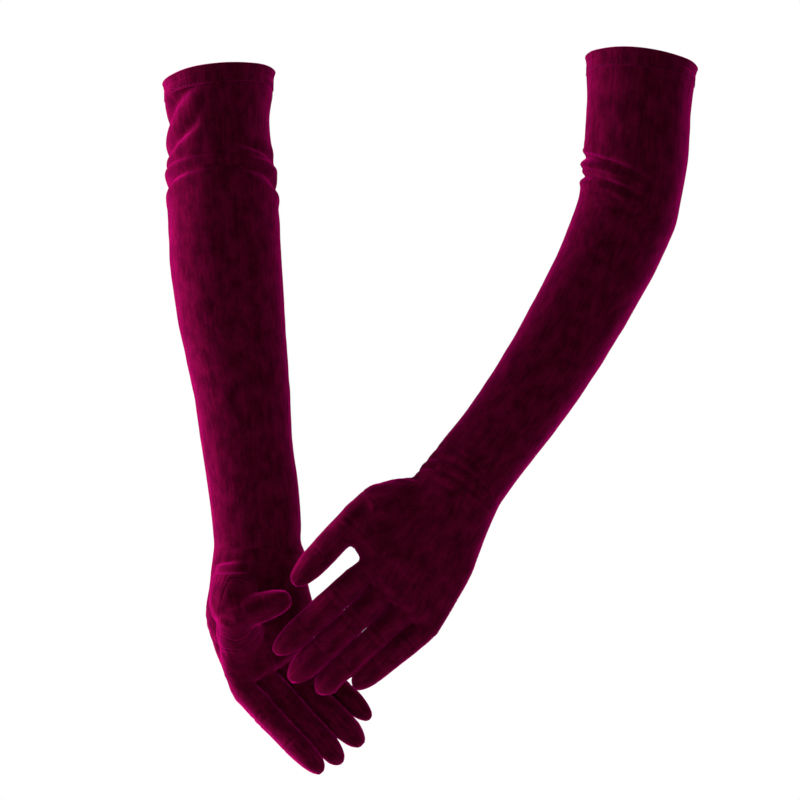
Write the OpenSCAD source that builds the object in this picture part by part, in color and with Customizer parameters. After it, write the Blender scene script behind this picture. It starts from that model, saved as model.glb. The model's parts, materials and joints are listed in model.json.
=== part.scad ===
// A pair of stretch velvet opera gloves, each sewn from cut panels and shown in the shape of a wearing arm.
// The right glove hangs straight and the left one slants across, with its hand laid over the right palm.
// Every tube of cloth is a row of oval rings, and each sewn panel is the strip between two ring angles:
// 0 is the little finger side, 90 the back of the hand, 180 the thumb side and 270 the palm.

/* [Cloth] */
// Thickness of the velvet with its pile
cloth = 1.0; // [0.8:0.1:1.2]
// Room left between pieces that turn on each other
joint_gap = 0.5; // [0.4:0.1:0.8]
// Gap at the root of each thumb, wide enough for its slanting turn
thumb_gap = 1.2; // [0.6:0.1:1.5]

/* [Hem] */
// Radius of the arm opening inside the folded hem
opening_r = 36.3; // [35:0.1:37]
// Depth of the folded hem
hem_depth = 12; // [11:1:14]
// Width of the elastic tape that lies inside the hem
elastic_w = 6; // [4:1:6]
// Thickness of the elastic tape
elastic_t = 0.8; // [0.6:0.1:1]
// Diameter of the sewing thread
thread_d = 0.6; // [0.4:0.1:0.8]

/* [Fingers] */
// Distance between neighbouring fingers at the right knuckles
right_pitch = 18.5; // [18.2:0.1:19]
// Distance between neighbouring fingers at the left knuckles
left_pitch = 19.6; // [18.6:0.1:20]
// Room between neighbouring fingers where they leave the hand
finger_room = 1.8; // [1.4:0.1:3]
// Depth of a finger from its back to its palm side
finger_d = 20.5; // [18:0.5:22]
// How much slimmer the little finger is than the others
little_less = 2; // [0:0.1:3]
// Width of the thumb
thumb_w = 22; // [18:0.5:23]
// Width at the fingertip as a share of the width at the knuckle
tip_taper = 0.94; // [0.8:0.01:0.95]
// Room between the thumb gusset and the hand panels at their seam, in mm
seam_room = 0.45; // [0.3:0.05:0.6]
// Half angle of the strip between two fingers, seen from the middle of the finger
gusset_angle = 32; // [25:1:40]

/* [Hidden] */

velvet = [0.42, 0.03, 0.20];
velvet_dark = [0.30, 0.02, 0.14];
tape_white = [0.90, 0.88, 0.86];
thread_wine = [0.22, 0.01, 0.10];

RIGHT = 1;
LEFT = -1;
limb_sides = 18;
digit_sides = 5;
gusset_sides = 2;
gusset_seam = 1;
solid_sides = 24;
tip_angles = [35, 62, 80];
digit_steps = 5;
fold_room = 0.2;
hem_outer_r = opening_r + 2 * cloth + elastic_t + 2 * fold_room;
round_w = 2 * hem_outer_r - 0.6;

// Direction of the arm at each joint, and the direction across it toward the little finger
right_hem_along = [0, 0, -1];
right_elbow_along = [0.03, 0, -1];
right_wrist_along = [0.05, 0, -1];
right_knuckle_along = [0.12, 0.04, -0.99];
right_arm_across = [1, 0, 0];
right_knuckle_across = [0.77, 0.486, 0.414];
left_hem_along = [-0.08, 0.03, -1];
left_elbow_along = [-0.27, -0.02, -0.96];
left_wrist_along = [-0.58, -0.16, -0.80];
left_knuckle_along = [-0.53, -0.10, -0.84];
left_hem_across = [1, 0, -0.08];
left_elbow_across = [0.96, 0, -0.27];
left_wrist_across = [0.80, 0, -0.60];
left_knuckle_across = [0.73, 0, -0.684];

// Middle of each arm opening
right_opening = [0, 0, 0];
left_opening = [305.3, 0, 10.8];

// Rings down each limb: x, y, z, width across, depth from front to back
right_upper_line = [
    [0, 0, -hem_depth, round_w, round_w],
    [0, 0, -27, 71.5, 75],
    [0.7, 0, -44, 73.5, 76],
    [1.5, 0, -65, 77.5, 77]
];
right_forearm_line = [
    [1.5, 0, -65, 77.5, 77],
    [3.5, 0, -100, 81, 75],
    [5, 0, -135, 81, 71],
    [9, 0, -176, 78, 65],
    [16, 0, -222, 70.5, 58],
    [20, 0, -262, 66.5, 53],
    [26, 0, -303, 65.5, 49],
    [28.5, 0, -338, 63, 46]
];
right_hand_line = [
    [28.5, 0, -338, 63, 46],
    [28, 0, -362, 72, 45],
    [28, -1, -385, 84, 42],
    [32, 1, -408, 86, 36],
    [38.6, 3.5, -425.5, 78, 30]
];
left_upper_line = [
    [304.35, 0.36, -1.17, round_w, round_w],
    [303.6, 0.8, -13, 75.5, 76],
    [302, 3, -50, 76.5, 74],
    [296.5, 7, -94, 73.5, 70]
];
left_forearm_line = [
    [296.5, 7, -94, 73.5, 70],
    [280.5, 4, -132, 70, 67],
    [261, -1, -168, 67, 63],
    [240, -6, -204, 64, 59],
    [215.5, -13, -240, 61, 54],
    [201.5, -17, -258, 59.5, 50],
    [177, -24, -289, 60, 46]
];
left_hand_line = [
    [177, -24, -289, 60, 46],
    [164, -28, -311, 68, 43],
    [149, -33, -341, 77, 37],
    [129.5, -37, -372, 80, 30]
];

// Middle of each rounded fingertip, index to little, and how far the finger bows out to its back
right_tips = [[71.3, -22, -491.8], [85, -14, -486], [99.4, -4, -474.5], [105.8, 8, -458]];
right_bow = 5;
left_tips = [[47.5, -30, -406], [58.3, -29, -425.5], [77.8, -28, -434], [103.7, -28, -431.3]];
left_bow = 6;

// Each thumb: the rings of its gusset out of the palm, then its tip and the way it bows
right_thumb_root = [[14, -9, -378], [10.5, -20, -384], [8.5, -32.3, -388]];
right_thumb_along = [0.74, -0.67, 0];
right_thumb_across = [-0.2, 0, -1];
right_thumb_tip = [44.6, -33, -376.4];
right_thumb_bow = 4;
left_thumb_root = [[141, -29, -297], [125, -32, -297], [112, -34, -303]];
left_thumb_along = [-0.75, -0.12, -0.62];
left_thumb_across = [0.64, 0, -0.77];
left_thumb_tip = [62, -36, -355];
left_thumb_bow = 4;

function unit(v) = v / norm(v);
function mix(a, b, f) = a * (1 - f) + b * f;
function point_of(s) = [s[0], s[1], s[2]];

// A ring is its centre, its half width vector and its half depth vector toward the back of the hand
function ring(c, across, along, side, w, d) =
    let (u = unit(across), v = side * unit(cross(u, along)))
    [c, u * w / 2, v * d / 2];
function ring_normal(r, side) = side * cross(unit(r[2]), unit(r[1]));
function shifted(r, side, by) = [r[0] + by * ring_normal(r, side), r[1], r[2]];
function thinner(r, by) = [r[0], r[1] * (1 - by / norm(r[1])), r[2] * (1 - by / norm(r[2]))];

// Rings down a limb: the two ends follow the joints, the rings between follow the line itself
function limb(line, across, ends, side, lead) = [
    for (i = [0 : len(line) - 1])
        let (
            last = len(line) - 1,
            between = point_of(line[min(i + 1, last)]) - point_of(line[max(i - 1, 0)]),
            along = i == 0 ? ends[0] : i == last ? ends[1] : between,
            r = ring(point_of(line[i]), mix(across[0], across[1], i / last), along, side,
                     line[i][3], line[i][4])
        )
        i == 0 ? shifted(r, side, lead) : r
];

// Rings of a finger or thumb from its base ring to its rounded tip, bowed toward its back
function digit(base, tip, bow, side) =
    let (
        start = base[0],
        back = unit(base[2]),
        half_w = norm(base[1]),
        half_d = norm(base[2]),
        end_along = unit(tip - start - 4 * bow * back),
        shaft = [
            for (i = [1 : digit_steps])
                let (
                    f = i / digit_steps,
                    along = unit(tip - start + 4 * bow * (1 - 2 * f) * back),
                    across = base[1] - (base[1] * along) * along,
                    size = mix(1, tip_taper, f)
                )
                ring(mix(start, tip, f) + 4 * bow * f * (1 - f) * back, across, along, side,
                     2 * half_w * size, 2 * half_d * mix(1, half_w / half_d, f) * size)
        ],
        last = shaft[digit_steps - 1],
        dome = [
            for (a = tip_angles)
                [last[0] + end_along * norm(last[1]) * sin(a), last[1] * cos(a), last[2] * cos(a)]
        ]
    )
    concat([base], shaft, dome);

// Base ring of a finger on the knuckle line, counted from the index finger
function knuckle(hand, which, pitch, side) =
    let (
        k = hand[len(hand) - 1],
        w = pitch - finger_room - (which == 3 ? little_less : 0),
        d = which == 3 ? finger_d - 2 : finger_d,
        u = unit(k[1])
    )
    shifted([k[0] + (which - 1.5) * pitch * u, u * w / 2, unit(k[2]) * d / 2], side, joint_gap);

function point_on(r, t) = r[0] + cos(t) * r[1] + sin(t) * r[2];
function turned(faces, side) = [for (f = faces) side > 0 ? f : [for (i = [len(f) - 1 : -1 : 0]) f[i]]];

// One cut panel: the strip of cloth between two ring angles, with its thickness inward
module panel(rings, from, to, steps, side) {
    m = len(rings);
    row = steps + 1;
    inside = m * row;
    angles = [for (j = [0 : steps]) from + (to - from) * j / steps];
    outer = [for (r = rings) for (t = angles) point_on(r, t)];
    inner = [for (r = rings) for (t = angles) point_on(thinner(r, min(cloth, norm(r[1]) * 0.6)), t)];
    skin = [
        for (i = [0 : m - 2])
            for (j = [0 : steps - 1])
                let (a = i * row + j, b = a + 1, c = a + row, d = c + 1)
                each [
                    [a, b, d], [a, d, c],
                    [inside + a, inside + d, inside + b], [inside + a, inside + c, inside + d]
                ]
    ];
    seams = [
        for (i = [0 : m - 2])
            let (a = i * row, c = a + row, p = a + steps, q = c + steps)
            each [
                [inside + a, a, inside + c], [a, c, inside + c],
                [inside + p, inside + q, p], [p, inside + q, q]
            ]
    ];
    ends = [
        for (j = [0 : steps - 1])
            let (a = j, b = j + 1, e = (m - 1) * row + j, f = e + 1)
            each [
                [a, inside + a, inside + b], [a, inside + b, b],
                [e, inside + f, inside + e], [e, f, inside + f]
            ]
    ];
    polyhedron(points = concat(outer, inner), faces = turned(concat(skin, seams, ends), side));
}

// The filled shape of a tube, for cutting one tube out of another
module filled(rings, side) {
    m = len(rings);
    n = solid_sides;
    sides = [
        for (i = [0 : m - 2])
            for (j = [0 : n - 1])
                let (a = i * n + j, b = i * n + (j + 1) % n, c = a + n, d = b + n)
                each [[a, b, d], [a, d, c]]
    ];
    caps = [[for (j = [n - 1 : -1 : 0]) j], [for (j = [0 : n - 1]) (m - 1) * n + j]];
    polyhedron(
        points = [for (r = rings) for (j = [0 : n - 1]) point_on(r, 360 * j / n)],
        faces = turned(concat(sides, caps), side)
    );
}

right_upper = limb(right_upper_line, [right_arm_across, right_arm_across],
                   [right_hem_along, right_elbow_along], RIGHT, 0);
right_forearm = limb(right_forearm_line, [right_arm_across, right_arm_across],
                     [right_elbow_along, right_wrist_along], RIGHT, joint_gap);
right_hand = limb(right_hand_line, [right_arm_across, right_knuckle_across],
                  [right_wrist_along, right_knuckle_along], RIGHT, joint_gap);
left_upper = limb(left_upper_line, [left_hem_across, left_elbow_across],
                  [left_hem_along, left_elbow_along], LEFT, 0);
left_forearm = limb(left_forearm_line, [left_elbow_across, left_wrist_across],
                    [left_elbow_along, left_wrist_along], LEFT, joint_gap);
left_hand = limb(left_hand_line, [left_wrist_across, left_knuckle_across],
                 [left_wrist_along, left_knuckle_along], LEFT, joint_gap);

right_fingers = [for (i = [0 : 3])
    digit(knuckle(right_hand, i, right_pitch, RIGHT), right_tips[i], right_bow, RIGHT)];
left_fingers = [for (i = [0 : 3])
    digit(knuckle(left_hand, i, left_pitch, LEFT), left_tips[i], left_bow, LEFT)];

// Rings of a thumb gusset, which swells toward the hand
function gusset(root, across, along, side) = [
    for (i = [0 : 2]) ring(root[i], across, along, side, thumb_w + 4 - 2 * i, thumb_w + 4 - 2 * i)
];
right_gusset = gusset(right_thumb_root, right_thumb_across, right_thumb_along, RIGHT);
left_gusset = gusset(left_thumb_root, left_thumb_across, left_thumb_along, LEFT);
right_thumb = digit(shifted(right_gusset[2], RIGHT, thumb_gap), right_thumb_tip, right_thumb_bow, RIGHT);
left_thumb = digit(shifted(left_gusset[2], LEFT, thumb_gap), left_thumb_tip, left_thumb_bow, LEFT);

// Stand a hem piece, made downward from the origin, at an arm opening
module at_opening(opening, along) {
    tilt = acos(-unit(along)[2]);
    turn = atan2(-along[1], -along[0]);
    translate(opening) rotate([0, tilt, turn]) children();
}

module hem_band() {
    color(velvet) rotate_extrude($fn = 96) difference() {
        translate([opening_r, -hem_depth]) square([hem_outer_r - opening_r, hem_depth]);
        translate([opening_r + cloth, -hem_depth + 2]) square([elastic_t + 2 * fold_room, hem_depth - 4]);
    }
}

module hem_elastic() {
    color(tape_white) rotate_extrude($fn = 96)
        translate([opening_r + cloth + fold_room, -(hem_depth + elastic_w) / 2])
            square([elastic_t, elastic_w]);
}

module hem_stitching() {
    color(thread_wine) rotate_extrude($fn = 96)
        translate([hem_outer_r + thread_d / 2 + 0.02, -hem_depth + 1]) circle(d = thread_d, $fn = 16);
}

module limb_front(rings, side) color(velvet) {
    if (side > 0) panel(rings, 180, 360, limb_sides, side);
    else panel(rings, 0, 180, limb_sides, side);
}

module limb_back(rings, side) color(velvet) {
    if (side > 0) panel(rings, 0, 180, limb_sides, side);
    else panel(rings, 180, 360, limb_sides, side);
}

// Palm panel with the hole that the thumb gusset is set into
module palm(hand, root, side) color(velvet) difference() {
    panel(hand, 180, 360, limb_sides, side);
    filled([for (r = root) thinner(r, cloth)], side);
}

// Back panel, cleared where the gusset reaches round the edge of the hand
module hand_back(hand, root, side) color(velvet) difference() {
    panel(hand, 0, 180, limb_sides, side);
    filled([for (r = root) thinner(r, cloth)], side);
}

// The gusset is a strip sewn into a ring, open by a hair along its own seam, and cut to the hand's surface
module thumb_gusset(hand, root, thumb, side) color(velvet_dark) difference() {
    panel(root, gusset_seam, 360 - gusset_seam, 2 * digit_steps, side);
    filled([for (r = hand) thinner(r, -seam_room)], side);
    hull() filled([for (i = [0 : 5]) thinner(thumb[i], -thumb_gap / 2)], side);
}

// The thumb's two panels, sewn together along both edges
module digit_back(rings, side) color(velvet) panel(rings, 0, 180, 2 * digit_sides, side);
module digit_front(rings, side) color(velvet) panel(rings, 180, 360, 2 * digit_sides, side);

// A finger panel reaches to the strip on the sides that face a neighbour, and to the seam on the others
module finger_back(rings, side, little_side, thumb_side) color(velvet)
    panel(rings, little_side ? gusset_angle : 0, thumb_side ? 180 - gusset_angle : 180,
          2 * digit_sides, side);
module finger_front(rings, side, little_side, thumb_side) color(velvet)
    panel(rings, thumb_side ? 180 + gusset_angle : 180, little_side ? 360 - gusset_angle : 360,
          2 * digit_sides, side);
module inner_fourchette(rings, side) color(velvet_dark)
    panel(rings, 180 - gusset_angle, 180 + gusset_angle, 2 * gusset_sides, side);
module outer_fourchette(rings, side) color(velvet_dark)
    panel(rings, -gusset_angle, gusset_angle, 2 * gusset_sides, side);

// Right glove
module right_hem_band() at_opening(right_opening, right_hem_along) hem_band();
module right_hem_elastic() at_opening(right_opening, right_hem_along) hem_elastic();
module right_hem_stitching() at_opening(right_opening, right_hem_along) hem_stitching();
module right_upper_sleeve_front() limb_front(right_upper, RIGHT);
module right_upper_sleeve_back() limb_back(right_upper, RIGHT);
module right_forearm_front() limb_front(right_forearm, RIGHT);
module right_forearm_back() limb_back(right_forearm, RIGHT);
module right_hand_back() hand_back(right_hand, right_gusset, RIGHT);
module right_palm() palm(right_hand, right_gusset, RIGHT);
module right_thumb_gusset() thumb_gusset(right_hand, right_gusset, right_thumb, RIGHT);
module right_thumb_back() digit_back(right_thumb, RIGHT);
module right_thumb_front() digit_front(right_thumb, RIGHT);
module right_index_back() finger_back(right_fingers[0], RIGHT, true, false);
module right_index_front() finger_front(right_fingers[0], RIGHT, true, false);
module right_index_fourchette() outer_fourchette(right_fingers[0], RIGHT);
module right_middle_back() finger_back(right_fingers[1], RIGHT, true, true);
module right_middle_front() finger_front(right_fingers[1], RIGHT, true, true);
module right_middle_inner_fourchette() inner_fourchette(right_fingers[1], RIGHT);
module right_middle_outer_fourchette() outer_fourchette(right_fingers[1], RIGHT);
module right_ring_back() finger_back(right_fingers[2], RIGHT, true, true);
module right_ring_front() finger_front(right_fingers[2], RIGHT, true, true);
module right_ring_inner_fourchette() inner_fourchette(right_fingers[2], RIGHT);
module right_ring_outer_fourchette() outer_fourchette(right_fingers[2], RIGHT);
module right_little_back() finger_back(right_fingers[3], RIGHT, false, true);
module right_little_front() finger_front(right_fingers[3], RIGHT, false, true);
module right_little_fourchette() inner_fourchette(right_fingers[3], RIGHT);

// Left glove
module left_hem_band() at_opening(left_opening, left_hem_along) hem_band();
module left_hem_elastic() at_opening(left_opening, left_hem_along) hem_elastic();
module left_hem_stitching() at_opening(left_opening, left_hem_along) hem_stitching();
module left_upper_sleeve_front() limb_front(left_upper, LEFT);
module left_upper_sleeve_back() limb_back(left_upper, LEFT);
module left_forearm_front() limb_front(left_forearm, LEFT);
module left_forearm_back() limb_back(left_forearm, LEFT);
module left_hand_back() hand_back(left_hand, left_gusset, LEFT);
module left_palm() palm(left_hand, left_gusset, LEFT);
module left_thumb_gusset() thumb_gusset(left_hand, left_gusset, left_thumb, LEFT);
module left_thumb_back() digit_back(left_thumb, LEFT);
module left_thumb_front() digit_front(left_thumb, LEFT);
module left_index_back() finger_back(left_fingers[0], LEFT, true, false);
module left_index_front() finger_front(left_fingers[0], LEFT, true, false);
module left_index_fourchette() outer_fourchette(left_fingers[0], LEFT);
module left_middle_back() finger_back(left_fingers[1], LEFT, true, true);
module left_middle_front() finger_front(left_fingers[1], LEFT, true, true);
module left_middle_inner_fourchette() inner_fourchette(left_fingers[1], LEFT);
module left_middle_outer_fourchette() outer_fourchette(left_fingers[1], LEFT);
module left_ring_back() finger_back(left_fingers[2], LEFT, true, true);
module left_ring_front() finger_front(left_fingers[2], LEFT, true, true);
module left_ring_inner_fourchette() inner_fourchette(left_fingers[2], LEFT);
module left_ring_outer_fourchette() outer_fourchette(left_fingers[2], LEFT);
module left_little_back() finger_back(left_fingers[3], LEFT, false, true);
module left_little_front() finger_front(left_fingers[3], LEFT, false, true);
module left_little_fourchette() inner_fourchette(left_fingers[3], LEFT);

right_hem_band();
right_hem_elastic();
right_hem_stitching();
right_upper_sleeve_front();
right_upper_sleeve_back();
right_forearm_front();
right_forearm_back();
right_hand_back();
right_palm();
right_thumb_gusset();
right_thumb_back();
right_thumb_front();
right_index_back();
right_index_front();
right_index_fourchette();
right_middle_back();
right_middle_front();
right_middle_inner_fourchette();
right_middle_outer_fourchette();
right_ring_back();
right_ring_front();
right_ring_inner_fourchette();
right_ring_outer_fourchette();
right_little_back();
right_little_front();
right_little_fourchette();
left_hem_band();
left_hem_elastic();
left_hem_stitching();
left_upper_sleeve_front();
left_upper_sleeve_back();
left_forearm_front();
left_forearm_back();
left_hand_back();
left_palm();
left_thumb_gusset();
left_thumb_back();
left_thumb_front();
left_index_back();
left_index_front();
left_index_fourchette();
left_middle_back();
left_middle_front();
left_middle_inner_fourchette();
left_middle_outer_fourchette();
left_ring_back();
left_ring_front();
left_ring_inner_fourchette();
left_ring_outer_fourchette();
left_little_back();
left_little_front();
left_little_fourchette();
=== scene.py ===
# %% [markdown]
# # A pair of stretch velvet opera gloves
# An opera glove is a long tube of stretch velvet that an arm fills. Nothing inside it is stiff, so its shape
# is the arm's shape, and its character comes from small things: creases where the arm bends, puckers
# along the seams, and a pile that glows where it is seen edge on.
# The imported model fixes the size, the bodies and the joints. This script only makes the cloth.

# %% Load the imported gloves
import json
import math

import bmesh
import bpy
import numpy as np
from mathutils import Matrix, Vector, noise


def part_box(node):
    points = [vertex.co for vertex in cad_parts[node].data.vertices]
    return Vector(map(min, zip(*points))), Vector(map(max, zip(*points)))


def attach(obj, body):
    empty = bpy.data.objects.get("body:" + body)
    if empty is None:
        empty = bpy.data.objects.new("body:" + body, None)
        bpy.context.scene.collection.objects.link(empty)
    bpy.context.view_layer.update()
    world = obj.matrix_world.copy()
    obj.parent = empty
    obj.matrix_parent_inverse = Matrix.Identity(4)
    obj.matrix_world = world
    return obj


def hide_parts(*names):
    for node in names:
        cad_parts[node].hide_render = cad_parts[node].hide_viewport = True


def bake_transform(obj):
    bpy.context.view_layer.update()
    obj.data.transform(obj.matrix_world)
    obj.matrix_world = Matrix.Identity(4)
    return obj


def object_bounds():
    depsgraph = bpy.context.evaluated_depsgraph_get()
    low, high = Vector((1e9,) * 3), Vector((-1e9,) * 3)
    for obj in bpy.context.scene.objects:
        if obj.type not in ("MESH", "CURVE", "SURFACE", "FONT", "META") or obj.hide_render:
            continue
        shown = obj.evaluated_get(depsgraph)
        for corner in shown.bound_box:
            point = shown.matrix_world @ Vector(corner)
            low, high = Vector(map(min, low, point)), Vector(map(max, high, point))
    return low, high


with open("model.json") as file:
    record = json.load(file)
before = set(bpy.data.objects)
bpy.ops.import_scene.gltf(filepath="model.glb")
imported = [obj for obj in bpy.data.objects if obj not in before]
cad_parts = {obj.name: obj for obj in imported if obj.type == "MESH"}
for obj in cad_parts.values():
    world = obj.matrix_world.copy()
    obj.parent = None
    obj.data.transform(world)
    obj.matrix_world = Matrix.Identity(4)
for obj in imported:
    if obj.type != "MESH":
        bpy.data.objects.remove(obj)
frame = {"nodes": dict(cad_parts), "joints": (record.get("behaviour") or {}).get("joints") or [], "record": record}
cad_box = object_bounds()
joints = {joint["name"]: joint for joint in frame["joints"]}
mounts = {mount["name"]: mount for mount in frame["record"]["mounts"]}
spaces = {space["name"]: np.array(space["box_m"]) for space in frame["record"]["physics"]["openings"]}
SIDES = ("right", "left")

# %% [markdown]
# ## Where the camera stands
# The gloves are looked at from straight in front, at the height of their middle. From a little under two
# metres the hems are seen slightly from below, so their lips arch, while the lengths stay nearly true.

# %% Camera
low, high = (np.array(corner) for corner in cad_box)
middle = (low + high) / 2
VIEW_WIDTH = 0.576
CAMERA_DISTANCE = 1.8
SENSOR = 36.0
look_at = Vector((middle[0] - 0.0215, middle[1], middle[2] + 0.0105))
camera_data = bpy.data.cameras.new("camera")
camera_data.sensor_width = SENSOR
camera_data.lens = SENSOR * CAMERA_DISTANCE / VIEW_WIDTH
camera = bpy.data.objects.new("camera", camera_data)
bpy.context.scene.collection.objects.link(camera)
camera.location = look_at + Vector((0, -CAMERA_DISTANCE, 0))
camera.rotation_euler = (math.radians(90), 0, 0)
bpy.context.scene.camera = camera
print("lens", round(camera_data.lens), "mm")

# %% [markdown]
# ## Measuring a tube of cloth
# Every sleeve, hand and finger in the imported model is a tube. To build fine cloth on it we need its
# centre line and how wide and deep it is along the way. Cutting the tube with a plane gives a ring of
# points, and the ring gives all three. Walking down the tube, each new plane is set square to the way
# the last centres went, so a bent arm is measured as well as a straight one.

# %% Cut a node with a plane
triangles = {}
for name, node in frame["nodes"].items():
    corners = np.array([vertex.co for vertex in node.data.vertices])
    triangles[name] = corners[[list(face.vertices) for face in node.data.polygons]]
print(sum(map(len, triangles.values())), "triangles in the packed nodes")


def unit(vector):
    vector = np.asarray(vector, float)
    return vector / np.linalg.norm(vector)


def square_to(vector, direction):
    return unit(vector - direction * (vector @ direction))


def cut_points(names, point, normal):
    found = []
    for name in names:
        corners = triangles[name]
        side = (corners - point) @ normal
        for a, b in ((0, 1), (1, 2), (2, 0)):
            crossed = side[:, a] * side[:, b] < 0
            share = side[crossed, a] / (side[crossed, a] - side[crossed, b])
            found.append(corners[crossed, a] + share[:, None] * (corners[crossed, b] - corners[crossed, a]))
    return np.concatenate(found)


# %% Turn a cut into a ring
# A ring is its centre, its half width toward the little finger and its half depth toward the back of the
# hand, as three rows of one array.
def ring_from(points, point, across, back):
    u = (points - point) @ across
    v = (points - point) @ back
    centre = point + across * (u.max() + u.min()) / 2 + back * (v.max() + v.min()) / 2
    return np.array([centre, across * (u.max() - u.min()) / 2, back * (v.max() - v.min()) / 2])


def limb_ring(side, point, normal):
    backs = ["upper_sleeve_back", "forearm_back", "hand_back"]
    fronts = ["upper_sleeve_front", "forearm_front", "palm"]
    if side == "left":
        backs[:2], fronts[:2] = fronts[:2], backs[:2]
    back_cut = cut_points([f"{side}_{name}" for name in backs], point, normal)
    front_cut = cut_points([f"{side}_{name}" for name in fronts], point, normal)
    if len(back_cut) < 20 or len(front_cut) < 20:
        return None
    back = square_to(back_cut.mean(axis=0) - front_cut.mean(axis=0), normal)
    ring = ring_from(np.concatenate([back_cut, front_cut]), point, np.cross(back, normal), back)
    if ring[1] @ little_way[side] < 0:
        ring[1] = -ring[1]
    return ring


# %% [markdown]
# The knuckle hinges run along the row of knuckles, so their axes say which way the little finger lies.

# %% Knuckle line of each hand
FINGERS = ("index", "middle", "ring", "little")
DIGITS = FINGERS + ("thumb",)
knuckle_points = {}
little_way = {}
for side in SIDES:
    points = np.array([joints[f"{side}_{finger}_knuckle"]["pos_m"] for finger in FINGERS])
    knuckle_points[side] = points
    little_way[side] = unit(points[3] - points[0])
    print(side, "knuckle row", round(1000 * np.linalg.norm(points[3] - points[0]), 1), "mm")

# %% [markdown]
# The walk starts just under the hem and stops a little short of the knuckles, where the hand widens too
# fast to measure. One ring cut on the knuckle line itself ends the hand, as wide as four fingers.

# %% Walk down each arm
STEP = 0.006
SHORT_OF_KNUCKLES = 0.030
JUST_BEFORE = 0.0012
HALF_FINGER = 0.0091


def walk_down(side):
    mount = mounts[f"{side}_arm_opening"]
    heading = -unit(mount["axis"])
    here = np.array(mount["pos_m"]) + heading * (mount["dims"]["length_mm"] / 1000 + 0.001)
    knuckles = knuckle_points[side].mean(axis=0)
    rings = []
    while True:
        ring = limb_ring(side, here, heading)
        if ring is None or np.linalg.norm(ring[0] - knuckles) < SHORT_OF_KNUCKLES:
            return rings
        rings.append(ring)
        if len(rings) > 3:
            heading = unit(0.5 * heading + 0.5 * unit(ring[0] - rings[-4][0]))
        here = ring[0] + STEP * heading


def smoothed(rings, passes):
    rings = np.array(rings)
    for _ in range(passes):
        rings[1:-1] = (rings[:-2] + 2 * rings[1:-1] + rings[2:]) / 4
    return rings


def knuckle_frame(side, rings):
    way = little_way[side]
    back = square_to(rings[-1][2], way)
    out = np.cross(way, back)
    if out @ (rings[-1][0] - rings[-4][0]) < 0:
        out = -out
    return way, back, out


limb = {}
knuckle = {}
for side in SIDES:
    rings = walk_down(side)
    way, back, out = knuckle_frame(side, rings)
    plane_point = knuckle_points[side].mean(axis=0)
    points = cut_points([f"{side}_hand_back", f"{side}_palm"], plane_point - JUST_BEFORE * out, out)
    last = ring_from(points, plane_point, way, back)
    row = 0.5 * np.linalg.norm(knuckle_points[side][3] - knuckle_points[side][0]) + HALF_FINGER
    last[0] = last[0] + way * ((plane_point - last[0]) @ way)
    last[1] = way * row
    limb[side] = smoothed(list(rings) + [last], 3)
    knuckle[side] = {"way": way, "back": back, "out": out, "ring": last}
    print(side, "arm:", len(limb[side]), "rings, wrist to knuckles in", np.round(1000 * last[0], 1))

# %% [markdown]
# A finger is measured the same way. The stated space at each end of a digit lies on its centre line, so the
# two give its direction, and its hinge says which side is its back.

# %% Measure the fingers and thumbs
RING_SHARES = (-0.10, 0.1, 0.3, 0.5, 0.7, 0.9, 1.06)
PANEL_ENDINGS = ("_back", "_front", "_fourchette", "_inner_fourchette", "_outer_fourchette")


def digit_nodes(side, digit):
    return [f"{side}_{digit}{end}" for end in PANEL_ENDINGS if f"{side}_{digit}{end}" in triangles]


def digit_rings(side, digit):
    names = digit_nodes(side, digit)
    joint = joints[f"{side}_thumb_hinge" if digit == "thumb" else f"{side}_{digit}_knuckle"]
    hinge = np.array(joint["pos_m"])
    near = spaces[f"{side}_{digit}_base_space"].mean(axis=0)
    far = spaces[f"{side}_{digit}_tip_space"].mean(axis=0)
    along = unit(far - near)
    corners = np.concatenate([triangles[name].reshape(-1, 3) for name in names])
    tip = corners[np.argmax((corners - near) @ along)]
    way = unit(joint["axis"]) * (1 if side == "right" else -1)
    back = square_to(hinge - near, along)
    rings = []
    for share in RING_SHARES:
        point = near + share * (far - near)
        across = square_to(way, along)
        back = unit(np.cross(across, along)) * np.sign(np.cross(across, along) @ back)
        rings.append(ring_from(cut_points(names, point, along), point, across, back))
    return rings, tip, hinge, way, along


measured = {}
for side in SIDES:
    for digit in DIGITS:
        measured[side, digit] = digit_rings(side, digit)
    widths = [round(2000 * np.linalg.norm(measured[side, digit][0][3][1]), 1) for digit in DIGITS]
    print(side, "finger widths in mm", widths)

# %% [markdown]
# ## Filling a tube
# A loft through the rings gives the tube's skin. Between the measured rings the centre and the two half
# sizes follow a smooth Catmull-Rom curve, so no facet of the plain model shows in the cloth.

# %% Loft helpers
def curve_through(rows, count):
    rows = np.array(rows)
    padded = np.concatenate([[2 * rows[0] - rows[1]], rows, [2 * rows[-1] - rows[-2]]])
    out = []
    for x in np.linspace(0, len(rows) - 1, count):
        i = min(int(x), len(rows) - 2)
        t = x - i
        p0, p1, p2, p3 = padded[i], padded[i + 1], padded[i + 2], padded[i + 3]
        out.append(0.5 * (2 * p1 + (p2 - p0) * t + (2 * p0 - 5 * p1 + 4 * p2 - p3) * t ** 2
                          + (3 * p1 - p0 - 3 * p2 + p3) * t ** 3))
    return np.array(out)


def ring_points(rings, sides, power=1.0):
    angles = np.linspace(0, 2 * np.pi, sides, endpoint=False)
    c = np.sign(np.cos(angles)) * np.abs(np.cos(angles)) ** power
    s = np.sign(np.sin(angles)) * np.abs(np.sin(angles)) ** power
    return rings[:, 0][:, None] + c[None, :, None] * rings[:, 1][:, None] + s[None, :, None] * rings[:, 2][:, None]


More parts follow.
